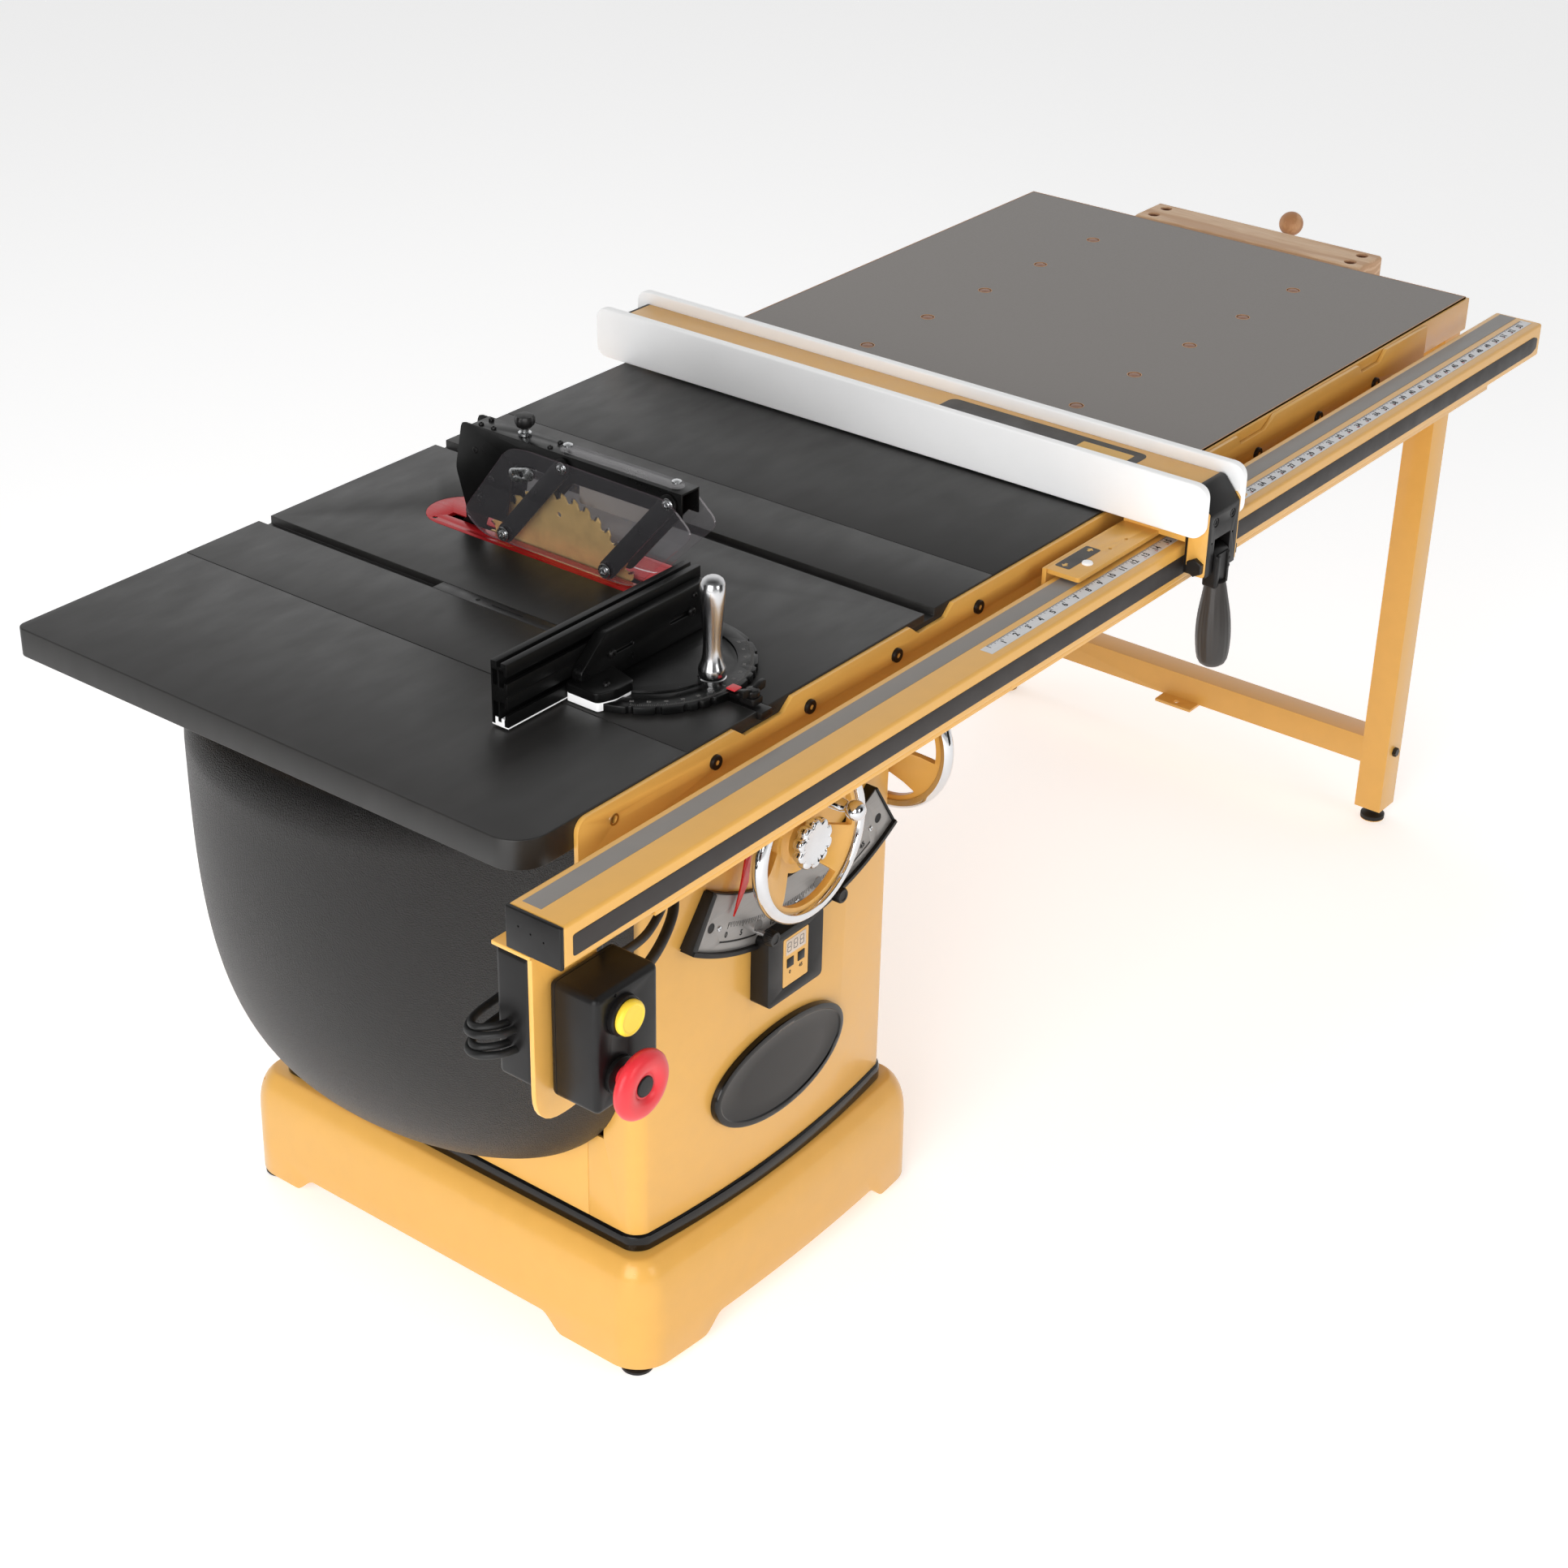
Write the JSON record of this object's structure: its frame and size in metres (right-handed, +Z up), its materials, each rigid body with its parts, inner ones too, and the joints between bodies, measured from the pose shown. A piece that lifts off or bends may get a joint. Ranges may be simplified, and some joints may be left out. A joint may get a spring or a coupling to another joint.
{
  "type": "table saw",
  "caption": "Cabinet table saw with tilting blade, clear guard, rip fence, mitre gauge, hand wheels, switch box and a legged extension table with an end vise.",
  "frame": {"origin": "middle of the footprint, on the floor", "axes": "+X along the rail to the operator's right, +Y to the back of the saw, +Z up"},
  "size_m": [2.2798, 0.9966, 1.043],
  "materials": {
    "gold_paint": "gloss gold-yellow powder coat",
    "black_rubber": "matt black rubber",
    "black_abs": "black moulded plastic with a fine leather grain",
    "black_gloss": "blank black oval plate",
    "ground_iron": "fine-ground iron with a dark protective film",
    "red_anodised": "red anodised plate",
    "grey_laminate": "grey laminate on board",
    "iron_paint": "dark painted castings",
    "red_paint": "red pointer",
    "steel": "machined steel",
    "blade_coating": "gold coloured coating over steel",
    "black_paint": "semi-gloss black",
    "black_anodised": "black anodised extrusion",
    "clear_plastic": "clear polycarbonate",
    "gold_chrome_wheel": "chromed rim with a gold painted web",
    "chrome": "polished chrome",
    "yellow_plastic": "yellow button",
    "red_plastic": "red mushroom paddle",
    "white_polymer": "white slick polymer",
    "beech": "oiled beech"
  },
  "bodies": {
    "root": {"base_plinth": "gold_paint", "trim_band": "black_rubber", "cabinet_shell": "gold_paint", "dust_port": "black_abs", "badge_plate": "black_gloss", "power_cable": "black_rubber", "main_table": "ground_iron", "left_wing": "ground_iron", "right_wing": "ground_iron", "throat_insert": "red_anodised", "extension_top": "grey_laminate", "extension_frame": "gold_paint", "leg_frame": "gold_paint", "front_rail_angle": "gold_paint", "rear_rail_angle": "gold_paint", "front_rail_tube": "gold_paint", "trunnion_front": "iron_paint", "trunnion_rear": "iron_paint", "bevel_scale": "black_abs", "digital_readout": "black_abs", "switch_bracket": "gold_paint", "switch_box": "black_abs"},
    "cover": {"motor_cover": "black_abs"},
    "cradle": {"tilt_cradle": "iron_paint", "tilt_pointer": "red_paint", "splitter_plate": "steel", "guard_channel": "black_paint"},
    "arm": {"arbor_arm": "iron_paint", "motor": "iron_paint", "drive_belt": "black_rubber"},
    "arbor": {"arbor_shaft": "steel", "saw_blade": "blade_coating"},
    "motor_drive": {"motor_pulley": "steel"},
    "guard_screw": {"guard_knob": "black_abs"},
    "left_link_rear": {"link_left_rear": "black_paint"},
    "left_link_front": {"link_left_front": "black_paint"},
    "left_shield": {"shield_left": "clear_plastic"},
    "right_link_rear": {"link_right_rear": "black_paint"},
    "right_link_front": {"link_right_front": "black_paint"},
    "right_shield": {"shield_right": "clear_plastic"},
    "raise_wheel": {"raise_handwheel": "gold_chrome_wheel"},
    "raise_lock": {"raise_lock_knob": "chrome"},
    "raise_grip": {"raise_handle": "chrome"},
    "tilt_wheel": {"tilt_handwheel": "gold_chrome_wheel"},
    "tilt_lock": {"tilt_lock_knob": "chrome"},
    "tilt_grip": {"tilt_handle": "chrome"},
    "start": {"start_button": "yellow_plastic"},
    "stop": {"stop_paddle": "red_plastic"},
    "fence": {"fence_body": "gold_paint", "fence_head": "black_abs", "fence_face_left": "white_polymer", "fence_face_right": "white_polymer"},
    "fence_handle": {"fence_lever": "black_abs"},
    "miter": {"miter_bar": "steel"},
    "miter_top": {"miter_head": "black_paint", "miter_fence": "black_anodised"},
    "miter_grip": {"miter_handle": "chrome"},
    "jaw": {"vise_jaw": "beech"},
    "jaw_screw": {"vise_screw": "steel"},
    "jaw_bar": {"vise_bar": "beech"}
  },
  "joints": [
    {"name": "cover_swing", "type": "hinge", "parent": "root", "child": "cover", "pos_m": [-0.81488, 0.36625, 0.55], "axis": [0, 0, -1], "range_deg": [0, 100]},
    {"name": "blade_tilt", "type": "hinge", "parent": "root", "child": "cradle", "pos_m": [-0.53087, 0.07425, 0.876], "axis": [0, -1, 0], "range_deg": [0, 45]},
    {"name": "blade_raise", "type": "slide", "parent": "cradle", "child": "arm", "axis": [0, 0, 1], "range_m": [-0.08, 0]},
    {"name": "blade_spin", "type": "hinge", "parent": "arm", "child": "arbor", "pos_m": [-0.53087, 0.10305, 0.829], "axis": [1, 0, 0], "continuous": true},
    {"name": "motor_spin", "type": "hinge", "parent": "arm", "child": "motor_drive", "pos_m": [-0.63887, 0.03425, 0.641], "axis": [1, 0, 0], "continuous": true},
    {"name": "guard_knob_turn", "type": "hinge", "parent": "cradle", "child": "guard_screw", "pos_m": [-0.53587, 0.15225, 1.02], "axis": [0, 0, 1], "range_deg": [0, 720]},
    {"name": "left_link_rear_swing", "type": "hinge", "parent": "cradle", "child": "left_link_rear", "pos_m": [-0.55437, 0.07725, 1.002], "axis": [1, 0, 0], "range_deg": [0, 22.5]},
    {"name": "left_link_front_swing", "type": "hinge", "parent": "cradle", "child": "left_link_front", "pos_m": [-0.55437, -0.08375, 1.002], "axis": [1, 0, 0], "range_deg": [0, 22.5]},
    {"name": "left_shield_swing", "type": "hinge", "parent": "left_link_rear", "child": "left_shield", "pos_m": [-0.55437, 0.17025, 0.8925], "axis": [1, 0, 0], "range_deg": [-22.5, 0]},
    {"name": "right_guard_lift", "type": "hinge", "parent": "cradle", "child": "right_link_rear", "pos_m": [-0.51738, 0.07725, 1.002], "axis": [1, 0, 0], "range_deg": [0, 40]},
    {"name": "right_link_front_swing", "type": "hinge", "parent": "cradle", "child": "right_link_front", "pos_m": [-0.51738, -0.08375, 1.002], "axis": [1, 0, 0], "range_deg": [0, 40]},
    {"name": "right_shield_swing", "type": "hinge", "parent": "right_link_rear", "child": "right_shield", "pos_m": [-0.51738, 0.17025, 0.8925], "axis": [1, 0, 0], "range_deg": [-40, 0]},
    {"name": "raise_wheel_turn", "type": "hinge", "parent": "cradle", "child": "raise_wheel", "pos_m": [-0.60929, -0.33775, 0.67796], "axis": [0, 1, 0], "range_deg": [-7200, 0]},
    {"name": "raise_lock_turn", "type": "hinge", "parent": "raise_wheel", "child": "raise_lock", "pos_m": [-0.60929, -0.35575, 0.67796], "axis": [0, 1, 0], "range_deg": [-360, 0]},
    {"name": "raise_grip_spin", "type": "hinge", "parent": "raise_wheel", "child": "raise_grip", "pos_m": [-0.62389, -0.37575, 0.75226], "axis": [0, 1, 0], "continuous": true},
    {"name": "tilt_wheel_turn", "type": "hinge", "parent": "root", "child": "tilt_wheel", "pos_m": [-0.27887, -0.20575, 0.634], "axis": [-1, 0, 0], "range_deg": [0, 7920]},
    {"name": "tilt_lock_turn", "type": "hinge", "parent": "tilt_wheel", "child": "tilt_lock", "pos_m": [-0.26088, -0.20575, 0.634], "axis": [-1, 0, 0], "range_deg": [-360, 0]},
    {"name": "tilt_grip_spin", "type": "hinge", "parent": "tilt_wheel", "child": "tilt_grip", "pos_m": [-0.23888, -0.22035, 0.7083], "axis": [-1, 0, 0], "continuous": true},
    {"name": "start_press", "type": "slide", "parent": "root", "child": "start", "axis": [0, 1, 0], "range_m": [0, 0.004]},
    {"name": "stop_press", "type": "slide", "parent": "root", "child": "stop", "axis": [0, 1, 0], "range_m": [0, 0.01]},
    {"name": "fence_slide", "type": "slide", "parent": "root", "child": "fence", "axis": [1, 0, 0], "range_m": [-0.48, 0.8]},
    {"name": "fence_lever_lift", "type": "hinge", "parent": "fence", "child": "fence_handle", "pos_m": [0.03612, -0.45875, 0.837], "axis": [-1, 0, 0], "range_deg": [0, 75]},
    {"name": "miter_slide", "type": "slide", "parent": "root", "child": "miter", "axis": [0, -1, 0], "range_m": [-0.3, 0.15]},
    {"name": "miter_pivot", "type": "hinge", "parent": "miter", "child": "miter_top", "pos_m": [-0.68607, -0.16575, 0.88], "axis": [0, 0, 1], "range_deg": [-60, 60]},
    {"name": "miter_grip_turn", "type": "hinge", "parent": "miter_top", "child": "miter_grip", "pos_m": [-0.68607, -0.25575, 0.9], "axis": [0, 0, 1], "range_deg": [0, 720]},
    {"name": "jaw_slide", "type": "slide", "parent": "root", "child": "jaw", "axis": [1, 0, 0], "range_m": [0, 0.1]},
    {"name": "jaw_screw_turn", "type": "hinge", "parent": "jaw", "child": "jaw_screw", "pos_m": [1.02113, 0.04625, 0.79], "axis": [-1, 0, 0], "range_deg": [0, 6000]},
    {"name": "jaw_bar_slide", "type": "slide", "parent": "jaw_screw", "child": "jaw_bar", "axis": [0, 0, 1], "range_m": [-0.045, 0.045]}
  ],
  "couplings": [
    {"joint": "motor_spin", "follows": "blade_spin", "ratio": 0.7414},
    {"joint": "blade_raise", "follows": "raise_wheel_turn", "m_per_rad": 0.00063662},
    {"joint": "blade_tilt", "follows": "tilt_wheel_turn", "ratio": 0.0056818},
    {"joint": "left_link_rear_swing", "follows": "tilt_wheel_turn", "ratio": 0.0028409},
    {"joint": "left_link_front_swing", "follows": "tilt_wheel_turn", "ratio": 0.0028409},
    {"joint": "left_shield_swing", "follows": "tilt_wheel_turn", "ratio": -0.0028409},
    {"joint": "right_link_front_swing", "follows": "right_guard_lift", "ratio": 1},
    {"joint": "right_shield_swing", "follows": "right_guard_lift", "ratio": -1},
    {"joint": "jaw_slide", "follows": "jaw_screw_turn", "m_per_rad": 0.00095493}
  ]
}
